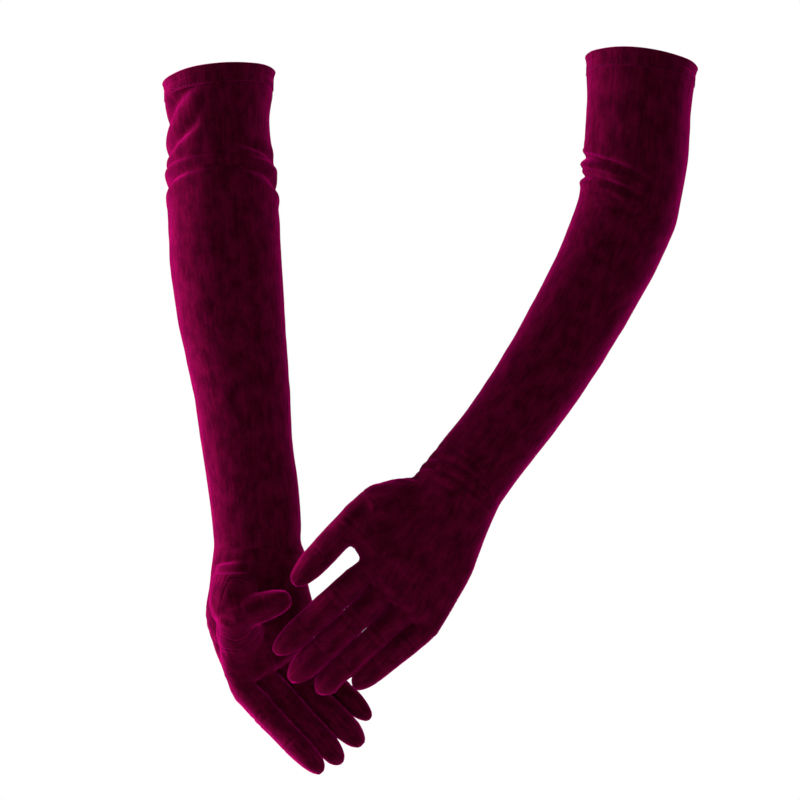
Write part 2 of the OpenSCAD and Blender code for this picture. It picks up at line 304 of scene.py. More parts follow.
def new_object(name, points, faces):
    mesh = bpy.data.meshes.new(name)
    mesh.from_pydata([tuple(p) for p in points], [], faces)
    mesh.update()
    made = bpy.data.objects.new(name, mesh)
    bpy.context.scene.collection.objects.link(made)
    return made


def face_outward(made):
    shell = bmesh.new()
    shell.from_mesh(made.data)
    bmesh.ops.recalc_face_normals(shell, faces=shell.faces)
    shell.to_mesh(made.data)
    shell.free()


def select_only(*chosen):
    bpy.ops.object.select_all(action="DESELECT")
    for made in chosen:
        made.select_set(True)
    bpy.context.view_layer.objects.active = chosen[0]


def filled_tube(name, rings, sides, power=1.0):
    grid = ring_points(rings, sides, power)
    count = len(rings)
    faces = [
        (i * sides + j, i * sides + (j + 1) % sides, (i + 1) * sides + (j + 1) % sides, (i + 1) * sides + j)
        for i in range(count - 1) for j in range(sides)
    ]
    faces += [tuple(range(sides - 1, -1, -1)), tuple(range((count - 1) * sides, count * sides))]
    made = new_object(name, grid.reshape(-1, 3), faces)
    face_outward(made)
    return made


def rounded_tip(last, tip_length, along, steps=9):
    turns = np.radians(np.linspace(10, 86, steps))
    return [np.array([last[0] + along * tip_length * math.sin(t), last[1] * math.cos(t) ** 0.72,
                      last[2] * math.cos(t) ** 0.80]) for t in turns]


# %% [markdown]
# A hand is more than a sleeve with fingers. The bone of each finger carries on under the back of the hand,
# so each finger tube starts well inside the hand and its knuckle shows as a soft rise. The thumb grows
# out of a thick pad of muscle, and a thin web of cloth joins the fingers a little past the knuckles.

# %% Shapes of the fingers and thumbs
WEB = 0.0045
BONE_REACH = 0.030
TUBE_STEPS = 44
THUMB_SWELL = 1.12


def finger_shape(side, digit):
    rings, tip, hinge, _, along = measured[side, digit]
    here = knuckle[side]
    half_w = np.linalg.norm(rings[0][1])
    half_d = np.linalg.norm(rings[0][2])
    way, back, out = (here[key] for key in ("way", "back", "out"))
    root = hinge - back * (half_d * 0.97 + 0.0003)
    root_ring = np.array([root, way * half_w, back * half_d])
    aside = (root - limb[side][-1][0]) @ way
    inner = np.array([root - out * BONE_REACH - back * 0.0015 - way * aside * 0.22,
                      way * half_w * 0.5, back * half_d * 0.75])
    shaft = curve_through([inner, root_ring] + rings, TUBE_STEPS)
    tip_length = max((tip - shaft[-1][0]) @ along, 0.6 * half_w)
    return np.concatenate([shaft, rounded_tip(shaft[-1], tip_length, along)])


def thumb_shape(side):
    rings, tip, hinge, _, along = measured[side, "thumb"]
    half = np.linalg.norm(rings[0][1])
    gusset = triangles[f"{side}_thumb_gusset"].reshape(-1, 3).mean(axis=0)
    hand = limb[side]
    nearest = hand[np.argmin(np.linalg.norm(hand[:, 0] - gusset, axis=1))]
    back = unit(rings[0][2])
    root = gusset * 0.5 + (hinge - back * half) * 0.5
    root_along = unit(rings[0][0] - gusset)
    root_ring = np.array([root, square_to(rings[0][1], root_along) * half * THUMB_SWELL,
                          square_to(rings[0][2], root_along) * half * THUMB_SWELL])
    inner = root_ring.copy()
    inner[0] = 0.55 * gusset + 0.45 * nearest[0]
    inner[1:] *= 1.2
    shaft = curve_through([inner, root_ring] + rings, TUBE_STEPS)
    tip_length = max((tip - shaft[-1][0]) @ along, 0.6 * half)
    return np.concatenate([shaft, rounded_tip(shaft[-1], tip_length, along)])


# %% [markdown]
# The arm's tube is carried on above the hem line, so that the hem's slant can be cut from it. The web
# between the thumb and the index finger and the pad under the thumb are short tubes of their own.

# %% Shapes of the hand, its web and its pad
ABOVE_HEM = 0.014


def hand_with_web(side):
    first = limb[side][0].copy()
    first[0] -= ABOVE_HEM * unit(limb[side][2][0] - limb[side][0][0])
    last = limb[side][-1]
    out = knuckle[side]["out"]
    web = [np.array([last[0] + out * WEB * share, last[1] * width, last[2] * depth])
           for share, width, depth in ((0.5, 0.985, 0.80), (1.0, 0.955, 0.55))]
    return np.concatenate([[first], limb[side], web])


def thumb_web(side):
    """The thick fold of cloth and hand between the thumb and the index finger."""
    near_index = digits[side, "index"][4][0] - 0.0015 * knuckle[side]["way"]
    near_thumb = digits[side, "thumb"][14][0]
    inside = limb[side][-5][0]
    way_across = unit(near_thumb - near_index)
    flat = square_to(knuckle[side]["back"], way_across)
    wide = np.cross(flat, way_across)
    rows = [(0.0, 0.0080, 0.0075), (0.3, 0.0150, 0.0115), (0.65, 0.0185, 0.0135), (1.0, 0.0140, 0.0115)]
    rings = []
    for share, width, depth in rows:
        place = near_index + share * (near_thumb - near_index)
        place = place + 0.20 * math.sin(math.pi * share) * (inside - place)
        rings.append(np.array([place, wide * width, flat * depth]))
    return curve_through(rings, 20)


def thumb_pad(side):
    """The muscle that the thumb grows out of, from the wrist to the root of the thumb."""
    ring = limb[side][-9]
    start = ring[0] - 0.40 * ring[1] - 0.20 * ring[2]
    end = digits[side, "thumb"][9][0]
    way_across = unit(end - start)
    flat = square_to(knuckle[side]["back"], way_across)
    wide = np.cross(flat, way_across)
    rows = [(0.0, 0.0150), (0.35, 0.0180), (0.7, 0.0175), (1.0, 0.0135)]
    return curve_through([np.array([start + share * (end - start), wide * size, flat * size])
                          for share, size in rows], 20)


# %% Build the filled shape of each glove
DIGIT_SIDES = 36
LIMB_SIDES = 72
digits = {}
solids = {}
for side in SIDES:
    parts = [filled_tube(f"{side}_limb", hand_with_web(side), LIMB_SIDES)]
    for digit in DIGITS:
        digits[side, digit] = thumb_shape(side) if digit == "thumb" else finger_shape(side, digit)
        parts.append(filled_tube(f"{side}_{digit}_fill", digits[side, digit], DIGIT_SIDES, 0.94))
    parts.append(filled_tube(f"{side}_web_fill", thumb_web(side), DIGIT_SIDES))
    parts.append(filled_tube(f"{side}_pad_fill", thumb_pad(side), DIGIT_SIDES))
    select_only(*parts)
    bpy.ops.object.join()
    solids[side] = parts[0]
    print(side, "filled shape has", len(parts[0].data.vertices), "points")

# %% [markdown]
# ## One skin
# The overlapping tubes are melted into one closed skin by a voxel remesh, and a smooth modifier softens
# the creases where they met. A voxel is smaller than the gap between two fingers, so the fingers stay apart.

# %% Melt the tubes into one skin
VOXEL = 0.00125


def apply_modifier(made, kind, **settings):
    select_only(made)
    modifier = made.modifiers.new(kind.lower(), kind)
    for key, value in settings.items():
        setattr(modifier, key, value)
    bpy.ops.object.modifier_apply(modifier=modifier.name)


for side in SIDES:
    apply_modifier(solids[side], "REMESH", mode="VOXEL", voxel_size=VOXEL, adaptivity=0.0)
    apply_modifier(solids[side], "SMOOTH", factor=0.5, iterations=14)
    print(side, "skin has", len(solids[side].data.polygons), "faces")

# %% [markdown]
# ## Cloth coordinates
# Creases and seams are laid out along the cloth, so every point of the skin needs to know which tube it
# lies on, how far along it is and at which angle round it. The nearest ring of each tube gives that.

# %% Find the tube, length and angle of each point
TUBES = ("limb",) + DIGITS
CHUNK = 20000


def rings_of(side, tube):
    return hand_with_web(side) if tube == "limb" else digits[side, tube]


def dense(rings):
    return curve_through(rings, 4 * len(rings))


def cloth_coordinates(side, points):
    """For each tube: the length along it, the angle round it, and how far out of its middle a point lies."""
    table = {}
    for tube in TUBES:
        rings = dense(rings_of(side, tube))
        centres = rings[:, 0]
        lengths = np.concatenate([[0], np.cumsum(np.linalg.norm(np.diff(centres, axis=0), axis=1))])
        best = np.empty(len(points), int)
        for start in range(0, len(points), CHUNK):
            chunk = points[start:start + CHUNK]
            gaps = ((chunk[:, None, :] - centres[None]) ** 2).sum(axis=2)
            best[start:start + CHUNK] = gaps.argmin(axis=1)
        offset = points - centres[best]
        half_w = np.linalg.norm(rings[:, 1], axis=1)[best]
        half_d = np.linalg.norm(rings[:, 2], axis=1)[best]
        u = (offset * rings[best, 1]).sum(axis=1) / half_w
        v = (offset * rings[best, 2]).sum(axis=1) / half_d
        tangent = np.gradient(centres, axis=0)[best]
        tangent /= np.linalg.norm(tangent, axis=1)[:, None]
        s = lengths[best] + (offset * tangent).sum(axis=1)
        out = np.hypot(u / np.maximum(half_w, 1e-4), v / np.maximum(half_d, 1e-4))
        table[tube] = {"s": s, "u": u, "v": v, "ring": best, "angle": np.arctan2(v / half_d, u / half_w),
                       "out": out, "radius": (half_w + half_d) / 2, "total": lengths[-1]}
    return table


def read_points(made, kind):
    values = np.empty(len(made.data.vertices) * 3)
    made.data.vertices.foreach_get(kind, values)
    return values.reshape(-1, 3)


def points_of(made):
    return read_points(made, "co")


def normals_of(made):
    return read_points(made, "normal")


def set_points(made, points):
    made.data.vertices.foreach_set("co", points.reshape(-1).astype(np.float32))
    made.data.update()

# %% [markdown]
# ## Planes where the panels part
# The bodies turn at the elbow, the wrist, the knuckles and the thumb, and the cloth is parted there.
# Each plane runs through the joint's own hinge.

# %% Parting planes
def limb_plane(side, joint_name):
    hinge = np.array(joints[joint_name]["pos_m"])
    axis = unit(joints[joint_name]["axis"])
    rings = limb[side]
    i = int(np.argmin(np.linalg.norm(rings[:, 0] - hinge, axis=1)))
    i = min(max(i, 2), len(rings) - 3)
    along = unit(rings[i + 2][0] - rings[i - 2][0])
    return hinge, square_to(along, axis), rings[i][0]


planes = {}
for side in SIDES:
    planes[side, "elbow"] = limb_plane(side, f"{side}_elbow")
    planes[side, "wrist"] = limb_plane(side, f"{side}_wrist")
    out = knuckle[side]["out"]
    centre = knuckle[side]["ring"][0]
    planes[side, "knuckles"] = (knuckle_points[side].mean(axis=0) + WEB * out, out, centre)
    rings, tip, hinge, way, along = measured[side, "thumb"]
    base = hinge - unit(rings[0][2]) * np.linalg.norm(rings[0][2])
    planes[side, "thumb"] = (hinge, square_to(unit(rings[1][0] - base), way), base)
    print(side, "elbow plane faces", np.round(planes[side, "elbow"][1], 2))

# %% [markdown]
# ## Creases
# Where an arm bends, the sleeve is too long on the inside of the bend and folds into creases. A crease is
# a curved line on the cloth: the cloth dips along it and stands proud just beside it. Each one here has a
# place along the tube, an angle where it is deepest, a reach round the tube, and an arch.

# %% Crease and ripple shapes
def wrapped(angle):
    return (angle + np.pi) % (2 * np.pi) - np.pi


def crease(where, at, angle, reach, arch, depth, width, slant=0.0, sides=0.0):
    """Height of one crease at each point; sides=1 makes it deepest near its two ends."""
    turn = wrapped(where["angle"] - math.radians(angle))
    share = turn / math.radians(reach)
    fade = np.clip(1 - share ** 4, 0, 1) * (1 - sides + sides * np.clip(np.abs(share) * 1.3, 0.15, 1))
    away = where["s"] - (at + arch * share ** 2 + slant * share)
    spread = width * (1 - 0.35 * sides + 0.7 * sides * np.clip(np.abs(share), 0, 1))
    dip = -np.exp(-(away / spread) ** 2)
    lips = 0.36 * np.exp(-((np.abs(away) - 2.0 * spread) / (1.25 * spread)) ** 2)
    return depth * fade * (dip + lips)


def field_noise(points, size, seed):
    """Soft random heights between -1 and 1 that change over about this many metres."""
    shift = Vector((seed * 7.31, seed * 3.17, seed * 1.93))
    return np.array([noise.noise(Vector(p) / size + shift) for p in points])


# %% Find the elbow and wrist along each sleeve
joint_at = {}
for side in SIDES:
    for name in ("elbow", "wrist"):
        table = cloth_coordinates(side, planes[side, name][2][None])
        joint_at[side, name] = float(table["limb"]["s"][0])
        print(side, name, "at", round(joint_at[side, name], 3), "m down the sleeve")

# %% [markdown]
# The right arm hangs nearly straight, so its creases are the slack of a sleeve that slid down: one deep
# fold arched over the front of the elbow, with slanting ones above it. The left arm is bent, so its creases
# run round the inside of the bend. At the wrists and the finger joints they are fine and close together.

# %% Creases of each glove
# Each row: distance from the joint, angle, reach, arch, depth, width, slant, sides
CREASES = {
    ("right", "elbow"): [
        (-0.0010, 268, 118, 0.024, 0.0046, 0.0033, 0.0, 0.72),
        (-0.0100, 268, 108, 0.013, 0.0014, 0.0018, 0.0, 0.2),
        (-0.0450, 213, 48, 0.000, 0.0036, 0.0052, -0.019, 0.0),
        (-0.0180, 206, 46, 0.000, 0.0032, 0.0042, -0.015, 0.0),
        (-0.0120, 325, 46, 0.000, 0.0026, 0.0034, 0.009, 0.0),
        (0.0150, 350, 40, 0.000, 0.0014, 0.0030, 0.008, 0.0),
        (-0.0060, 90, 75, -0.010, 0.0010, 0.0030, 0.0, 0.0),
    ],
    ("right", "wrist"): [
        (0.0030, 262, 80, 0.004, 0.0009, 0.0015, 0.002, 0.0),
        (0.0100, 255, 74, 0.005, 0.0010, 0.0015, -0.002, 0.0),
        (0.0180, 250, 62, 0.006, 0.0007, 0.0015, 0.001, 0.0),
        (-0.0060, 275, 60, 0.004, 0.0006, 0.0016, 0.0, 0.0),
        (0.0070, 352, 42, 0.000, -0.0014, 0.0045, 0.000, 0.0),
    ],
    ("left", "elbow"): [
        (-0.0300, 128, 76, 0.010, 0.0036, 0.0028, -0.010, 0.0),
        (-0.0225, 160, 44, 0.002, 0.0014, 0.0016, -0.001, 0.0),
        (-0.0170, 140, 72, 0.010, 0.0032, 0.0027, -0.0065, 0.0),
        (-0.0185, 106, 40, 0.002, 0.0008, 0.0013, -0.006, 0.0),
        (-0.0380, 150, 55, 0.002, 0.0006, 0.0018, -0.004, 0.0),
        (-0.0100, 245, 55, 0.002, 0.0012, 0.0026, 0.006, 0.0),
    ],
    ("left", "wrist"): [
        (-0.0020, 120, 78, 0.006, 0.0011, 0.0015, 0.003, 0.0),
        (0.0060, 118, 84, 0.007, 0.0013, 0.0015, 0.002, 0.0),
        (-0.0100, 125, 62, 0.005, 0.0008, 0.0015, 0.001, 0.0),
        (0.0140, 130, 52, 0.005, 0.0007, 0.0014, 0.002, 0.0),
    ],
}
# Share of the finger's length, and depth
FINGER_CREASES = ((0.47, 0.0006), (0.52, 0.0005), (0.73, 0.0005))
FRONT_AND_BACK = (90, 270)


def cloth_height(side, points, table):
    height = np.zeros(len(points))
    owner = owner_of(side, points, table)
    on_limb = owner == 0
    for name in ("elbow", "wrist"):
        for at, *shape in CREASES[side, name]:
            height += on_limb * crease(table["limb"], joint_at[side, name] + at, *shape)
    for index, digit in enumerate(DIGITS):
        here = table[digit]
        on_digit = owner == index + 1
        for share, depth in FINGER_CREASES:
            for angle in FRONT_AND_BACK:
                height += on_digit * crease(here, share * here["total"], angle, 75, 0.001, depth, 0.0011)
    return height, owner


def owner_of(side, points, table):
    """The tube that each point lies on: 0 for the arm and hand, 1 to 5 for the fingers and thumb."""
    closeness = np.stack([np.abs(table[tube]["out"] - 1) * table[tube]["radius"] for tube in TUBES])
    closeness[0] -= 0.0005
    point, out, _ = planes[side, "knuckles"]
    before = (points - point) @ out < 0
    closeness[1:5, before] = 1.0
    closeness[0, ~before & (np.linalg.norm(points - point, axis=1) < 0.12)] = 1.0
    thumb_point, thumb_out, _ = planes[side, "thumb"]
    closeness[5, (points - thumb_point) @ thumb_out < 0] = 1.0
    return closeness.argmin(axis=0)


# %% [markdown]
# Every point of the skin is moved along its normal by the height of the creases there, and by a little
# soft noise, because cloth over an arm is never as even as a turned part.

# %% Crease the skins
for side in SIDES:
    skin = solids[side]
    points = points_of(skin)
    table = cloth_coordinates(side, points)
    height, owner = cloth_height(side, points, table)
    height += 0.00045 * field_noise(points, 0.030, 3) + 0.00025 * field_noise(points, 0.011, 8)
    set_points(skin, points + normals_of(skin) * height[:, None])
    print(side, "creases from", round(1000 * height.min(), 2), "to", round(1000 * height.max(), 2), "mm")

# %% [markdown]
# ## Fuller fingers
# The skin was melted with the fingers held apart. On a hand in stretch velvet they lie almost side by side,
# so each finger is now widened toward its neighbours, up to a hair's breadth from half way between them.

# %% Widen the fingers
HAIR = 0.00015
WEB_FADE = 0.007
MOST_FULL = 1.42
OUTER_FULLNESS = 1.12
DEPTH_FULLNESS = 1.12


def room_beside(side, digit, neighbour):
    """Half the distance from each ring of one finger to its neighbour's centre line."""
    here = dense(digits[side, digit])[:, 0]
    there = dense(digits[side, neighbour])[:, 0]
    return np.linalg.norm(here[:, None] - there[None], axis=2).min(axis=1) / 2 - HAIR


def widen_fingers(side, points, table, owner):
    moved = points.copy()
    point, out, _ = planes[side, "knuckles"]
    past_web = np.clip(((points - point) @ out) / WEB_FADE, 0, 1)
    past_web = past_web * past_web * (3 - 2 * past_web)
    for index, digit in enumerate(FINGERS):
        mine = owner == index + 1
        rings = dense(digits[side, digit])
        here = table[digit]
        which = here["ring"][mine]
        half = np.linalg.norm(rings[:, 1], axis=1)
        across = rings[:, 1] / half[:, None]
        for sign, other in ((1, index + 1), (-1, index - 1)):
            if 0 <= other < 4:
                room = room_beside(side, digit, FINGERS[other])
                full = np.clip(room / np.maximum(half * 0.97, 1e-4), 1.0, MOST_FULL)
            else:
                full = np.full(len(half), OUTER_FULLNESS)
            full = 1 + (full - 1) * np.clip(half / (0.93 * half.max()), 0, 1)
            u = here["u"][mine]
            part = np.where(np.sign(u) == sign, u * (full[which] - 1), 0.0) * past_web[mine]
            moved[mine] += across[which] * part[:, None]
        depth = rings[:, 2] / np.linalg.norm(rings[:, 2], axis=1)[:, None]
        moved[mine] += depth[which] * (here["v"][mine] * (DEPTH_FULLNESS - 1) * past_web[mine])[:, None]
    return moved


for side in SIDES:
    points = points_of(solids[side])
    table = cloth_coordinates(side, points)
    owner = owner_of(side, points, table)
    set_points(solids[side], widen_fingers(side, points, table, owner))
    print(side, "fingers widened:", int((owner > 0).sum()), "points")

# %% [markdown]
# ## Cutting out the panels
# A glove is sewn from flat panels: a back and a palm for the hand and arm, a back and a front for each
# finger, and thin strips called fourchettes between the fingers. Each face of the skin is given to the panel
# it lies in. The edge where two panels meet is then evened out along the surface, so it runs like a seam.

# %% Name the panel of each face
GUSSET_REACH = 0.0265
FOURCHETTE = math.radians(32)


def corners_of(made):
    """The point of each face corner, in the order that Blender stores them."""
    corners = np.empty(len(made.data.loops), int)
    made.data.loops.foreach_get("vertex_index", corners)
    return corners


def panel_names(side):
    names = ["none"]
    for part in ("upper_sleeve", "forearm"):
        names += [f"{part}_front", f"{part}_back"]
    names += ["palm", "hand_back", "thumb_gusset", "thumb_front", "thumb_back"]
    for digit in FINGERS:
        names += [n[len(side) + 1:] for n in digit_nodes(side, digit)]
    return names


def arm_panel(side, table, past_elbow, past_wrist, near_thumb):
    to_back = table["limb"]["angle"] > 0
    if side == "left":
        sleeve = np.where(to_back, "front", "back")
    else:
        sleeve = np.where(to_back, "back", "front")
    arm = np.char.add(np.where(past_elbow, "forearm_", "upper_sleeve_"), sleeve)
    hand = np.where(near_thumb, "thumb_gusset", np.where(to_back, "hand_back", "palm"))
    return np.where(past_wrist, hand, arm)


def digit_panel(side, digit, here):
    angle = here["angle"]
    to_back = angle > 0
    plain = np.where(to_back, f"{digit}_back", f"{digit}_front")
    if digit == "thumb":
        return plain
    toward_little = np.abs(angle) < FOURCHETTE
    toward_thumb = np.abs(np.abs(angle) - np.pi) < FOURCHETTE
    if digit == "index":
        return np.where(toward_little, "index_fourchette", plain)
    if digit == "little":
        return np.where(toward_thumb, "little_fourchette", plain)
    inner, outer = INNER_SIDE[side]
    plain = np.where(toward_thumb, f"{digit}_{inner}_fourchette", plain)
    return np.where(toward_little, f"{digit}_{outer}_fourchette", plain)


# %% [markdown]
# The middle and ring fingers have two fourchettes each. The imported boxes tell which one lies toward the
# thumb, so the same names end up on the same strips.

# %% Which fourchette is the inner one
INNER_SIDE = {}
for side in SIDES:
    inner, outer = (np.sum(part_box(f"{side}_middle_{which}_fourchette"), axis=0) for which in ("inner", "outer"))
    apart = outer - inner
    INNER_SIDE[side] = ("inner", "outer") if apart @ little_way[side] > 0 else ("outer", "inner")
    print(side, "fourchette toward the thumb is the", INNER_SIDE[side][0])

# %% [markdown]
# The hem isn't square to the arm: it sits higher in front and on its outer side, as a sleeve that was
# pulled up by hand does. The sleeve is cut along the same slanting line, a little under the hem.

# %% Share the faces out
CUT_BACK = 0.0015
SLANT = {"right": (0.115, -0.13), "left": (-0.05, -0.15)}


def hem_frame(side):
    mount = mounts[f"{side}_arm_opening"]
    up = unit(mount["axis"])
    across = square_to(np.array([1.0, 0, 0]), up)
    return np.array(mount["pos_m"]), up, across, np.cross(up, across)


def above_opening(side, points):
    place, up, across, third = hem_frame(side)
    offset = points - place
    slant_x, slant_y = SLANT[side]
    return offset @ up - slant_x * (offset @ across) - slant_y * (offset @ third)


def share_out(side, centres):
    table = cloth_coordinates(side, centres)
    owner = owner_of(side, centres, table)
    elbow_point, elbow_way, _ = planes[side, "elbow"]
    wrist_point, wrist_way, _ = planes[side, "wrist"]
    thumb_base = planes[side, "thumb"][2]
    past_elbow = (centres - elbow_point) @ elbow_way > 0
    past_wrist = (centres - wrist_point) @ wrist_way > 0
    near_thumb = np.linalg.norm(centres - thumb_base, axis=1) < GUSSET_REACH
    panel = arm_panel(side, table, past_elbow, past_wrist, near_thumb)
    for index, digit in enumerate(DIGITS):
        panel = np.where(owner == index + 1, digit_panel(side, digit, table[digit]), panel)
    depth = mounts[f"{side}_arm_opening"]["dims"]["length_mm"] / 1000
    return np.where(above_opening(side, centres) > CUT_BACK - depth, "none", panel)


def tidy_labels(labels, corners, passes=4):
    """Each face takes the panel that most of its neighbours have, which removes stray faces."""
    edges = np.sort(np.stack([corners, np.roll(corners, -1, axis=1)], axis=2).reshape(-1, 2), axis=1)
    face = np.repeat(np.arange(len(corners)), 4)
    order = np.lexsort((edges[:, 1], edges[:, 0]))
    same = (np.diff(edges[order], axis=0) == 0).all(axis=1)
    first, second = face[order][:-1][same], face[order][1:][same]
    for _ in range(passes):
        votes = np.zeros((len(labels), labels.max() + 1))
        votes[np.arange(len(labels)), labels] = 1.5
        np.add.at(votes, (first, labels[second]), 1)
        np.add.at(votes, (second, labels[first]), 1)
        labels = votes.argmax(axis=1)
    return labels, edges[order][:-1][same], first, second


def even_seams(points, normals, seam_edges, passes=8):
    """Slide the points of each seam line toward the middle of their two neighbours on it, along the surface."""
    count = np.bincount(seam_edges.reshape(-1), minlength=len(points))
    for _ in range(passes):
        total = np.zeros_like(points)
        np.add.at(total, seam_edges[:, 0], points[seam_edges[:, 1]])
        np.add.at(total, seam_edges[:, 1], points[seam_edges[:, 0]])
        plain = count == 2
        step = total[plain] / 2 - points[plain]
        step -= normals[plain] * (step * normals[plain]).sum(axis=1)[:, None]
        points[plain] += 0.6 * step
    return points


FRONT = {"upper_sleeve_front", "forearm_front"}
BACK = {"upper_sleeve_back", "forearm_back"}
HAND = {"palm", "hand_back", "thumb_gusset"}


def is_sewn(a, b):
    """Two lengths of the same panel are one piece of cloth; any other two panels are sewn together."""
    if "none" in (a, b) or {a, b} <= FRONT or {a, b} <= BACK:
        return False
    if (a in HAND) != (b in HAND) and "thumb" not in a + b:
        return False
    return (a in FRONT | BACK) == (b in FRONT | BACK)


# %% [markdown]
# A sewn edge lies a little lower than the cloth beside it, and the thread draws small puckers into it. The
# puckers are strongest where the thumb's gusset joins the hand, because a round piece is eased into it.

# %% Cut, even out and pucker
SEAM_DEPTH = 0.00032
PUCKER_DEPTH = 0.00045
PUCKER_REACH = 0.004
PUCKERS = 26
panels = {}
for side in SIDES:
    skin = solids[side]
    points = points_of(skin)
    corners = corners_of(skin).reshape(-1, 4)
    names = panel_names(side)
    found = share_out(side, points[corners].mean(axis=1))
    labels = np.array([names.index(name) for name in found])
    labels, shared, first, second = tidy_labels(labels, corners)
    parting = labels[first] != labels[second]
    seam_edges = shared[parting]
    normals = normals_of(skin)
    points = even_seams(points, normals, seam_edges)
    pairs = [(names[a], names[b]) for a, b in zip(labels[first[parting]], labels[second[parting]])]
    sewn = np.array([is_sewn(a, b) for a, b in pairs])
    depth = np.zeros(len(points))
    depth[seam_edges[sewn]] = SEAM_DEPTH
    _, thumb_way, base = planes[side, "thumb"]
    off_seam = np.abs(np.linalg.norm(points - base, axis=1) - GUSSET_REACH)
    arc = np.arctan2((points - base) @ thumb_way, (points - base) @ np.cross(thumb_way, little_way[side]))
    near = np.exp(-(off_seam / PUCKER_REACH) ** 2)
    on_hand = np.zeros(len(points), bool)
    on_hand[corners[np.isin(labels, [names.index(name) for name in sorted(HAND)])]] = True
    pucker = near * on_hand * (0.5 + 0.5 * np.cos(arc * PUCKERS + 2.2 * np.sin(arc * 3)))
    points -= normals * (depth + PUCKER_DEPTH * pucker)[:, None]
    panels[side] = (points, corners, labels, names)
    print(side, "has", len(np.unique(labels)) - 1, "panels and", int(sewn.sum()), "sewn edges")

# %% [markdown]
# ## From skin to cloth
# Each panel becomes its own piece. Its thickness is added inward, so the outside stays where the arm puts
# it: the pile outside, the knitted back of the velvet inside. Every point keeps its place along and
# around the sleeve as a UV map, so the pile runs down the arm and down each finger.

# %% Make one piece for each panel
CLOTH = 0.0009


def piece_of(side, name, centre_angle):
    points, corners, labels, names = panels[side]
    chosen = corners[labels == names.index(name)]
    used, local = np.unique(chosen, return_inverse=True)
    local = local.reshape(-1, 4)
    made = new_object(f"{side}_{name}_velvet", points[used], [tuple(int(i) for i in face) for face in local])
    table = cloth_coordinates(side, points[used])
    tube = name.split("_")[0]
    here = table[tube if tube in DIGITS and name != "thumb_gusset" else "limb"]
    turn = centre_angle + wrapped(here["angle"] - centre_angle)
    around = turn * here["radius"].mean()
    along = here["s"]
    layer = made.data.uv_layers.new(name="Grain")
    loops = corners_of(made)
    layer.data.foreach_set("uv", np.stack([around[loops], along[loops]], axis=1).reshape(-1).astype(np.float32))
    size = (float(around.max() - around.min()), float(along.max() - along.min()))
    return made, size


def centre_of(side, name):
    if name == "thumb_gusset":
        return math.pi
    if "fourchette" in name:
        finger, which = name.split("_")[:2]
        toward_thumb = finger == "little" or which == INNER_SIDE[side][0]
        return math.pi if toward_thumb else 0.0
    to_back = name == "hand_back" or name.endswith("_back")
    if name.startswith(("upper_sleeve", "forearm")) and side == "left":
        to_back = not to_back
    return math.pi / 2 if to_back else -math.pi / 2


velvet_pieces = {}
for side in SIDES:
    for name in panel_names(side)[1:]:
        velvet_pieces[side, name] = piece_of(side, name, centre_of(side, name))
    bpy.data.objects.remove(solids[side])
print(len(velvet_pieces), "panels of cloth")

# %% [markdown]
# ## Velvet, as a material
# Velvet is a knit with a standing pile. Seen from above the pile swallows light and looks almost black;
# seen edge on, the fibre sides glow. The Principled shader's sheen does exactly that, so its weight, tint
# and roughness are set on the shader itself. What changes over the cloth comes from one node group:
# patches where the pile was brushed another way, fine streaks along the sleeve, and the pile's own grain.

# %% Node helpers
def new_group(name, inputs, outputs):
    group = bpy.data.node_groups.new(name, "ShaderNodeTree")
    for label, kind in inputs:
        group.interface.new_socket(name=label, in_out="INPUT", socket_type=kind)
    for label, kind in outputs:
        group.interface.new_socket(name=label, in_out="OUTPUT", socket_type=kind)
    return group, group.nodes.new("NodeGroupInput"), group.nodes.new("NodeGroupOutput")


def stretched_noise(tree, vector, scale, detail, roughness=0.55):
    """A noise whose grain can be longer one way than the other."""
    stretch = tree.nodes.new("ShaderNodeVectorMath")
    stretch.operation = "MULTIPLY"
    stretch.inputs[1].default_value = scale
    tree.links.new(vector, stretch.inputs[0])
    made = tree.nodes.new("ShaderNodeTexNoise")
    made.inputs["Scale"].default_value = 1.0
    made.inputs["Detail"].default_value = detail
    made.inputs["Roughness"].default_value = roughness
    tree.links.new(stretch.outputs[0], made.inputs["Vector"])
    return made.outputs["Fac"]


def math_node(tree, operation, a, b):
    made = tree.nodes.new("ShaderNodeMath")
    made.operation = operation
    for index, value in enumerate((a, b)):
        if isinstance(value, (int, float)):
            made.inputs[index].default_value = value
        else:
            tree.links.new(value, made.inputs[index])
    return made.outputs[0]


def weighted(tree, *terms):
    total = None
    for value, weight in terms:
        part = math_node(tree, "MULTIPLY", value, weight)
        total = part if total is None else math_node(tree, "ADD", total, part)
    return total


def ranged(tree, value, low, high, to_low, to_high):
    made = tree.nodes.new("ShaderNodeMapRange")
    made.interpolation_type = "SMOOTHSTEP"
    for label, number in (("From Min", low), ("From Max", high), ("To Min", to_low), ("To Max", to_high)):
        made.inputs[label].default_value = number
    tree.links.new(value, made.inputs["Value"])
    return made.outputs["Result"]


# %% [markdown]
# The group reads the cloth's own coordinates, across and along the sleeve, so the streaks follow the arm
# round its bends. Its colours, roughness and height go to the sockets of each cloth that uses it.

